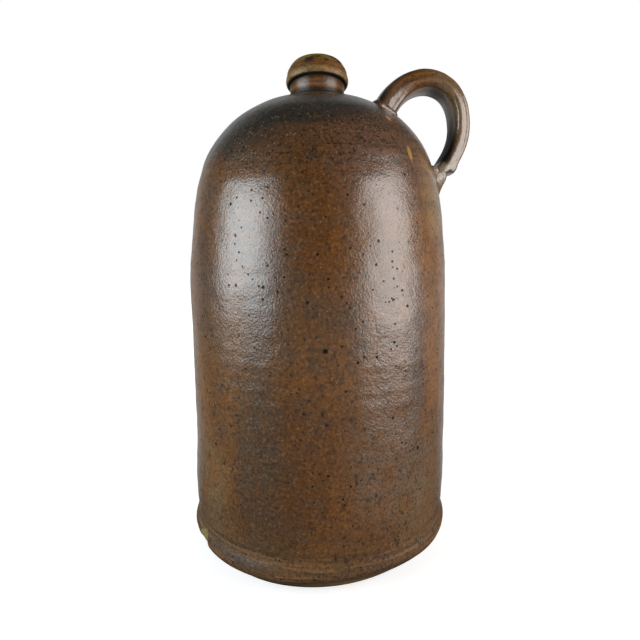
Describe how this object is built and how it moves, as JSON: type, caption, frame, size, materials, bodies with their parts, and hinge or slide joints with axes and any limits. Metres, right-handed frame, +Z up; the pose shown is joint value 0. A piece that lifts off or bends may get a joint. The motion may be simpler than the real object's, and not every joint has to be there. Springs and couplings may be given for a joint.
{
  "type": "stoneware jug",
  "caption": "Tall round stoneware jug with a beaded foot, a domed shoulder, a narrow collared mouth and a small ring handle on the shoulder, for storing and pouring liquids.",
  "frame": {"origin": "centre of the standing face, on the jug's axis", "axes": "+Z up along the jug's axis, +X towards the handle, the picture looks along +Y"},
  "size_m": [0.1875, 0.1764, 0.32],
  "materials": {
    "brown_glaze": "glossy brown salt glaze with fine pebbling and iron specks",
    "dark_glaze": "glossy brown salt glaze that darkens to charcoal towards the neck",
    "olive_glaze": "glossy olive brown glaze over tooled rings",
    "bare_clay": "fired stoneware, unglazed underneath"
  },
  "bodies": {
    "root": {"base_floor": "bare_clay", "foot_ring": "brown_glaze", "body_wall": "brown_glaze", "shoulder_dome": "dark_glaze", "neck_ring": "olive_glaze", "collar": "olive_glaze", "handle_strap": "brown_glaze", "handle_upper_wad": "brown_glaze", "handle_lower_pad": "brown_glaze"}
  },
  "joints": []
}
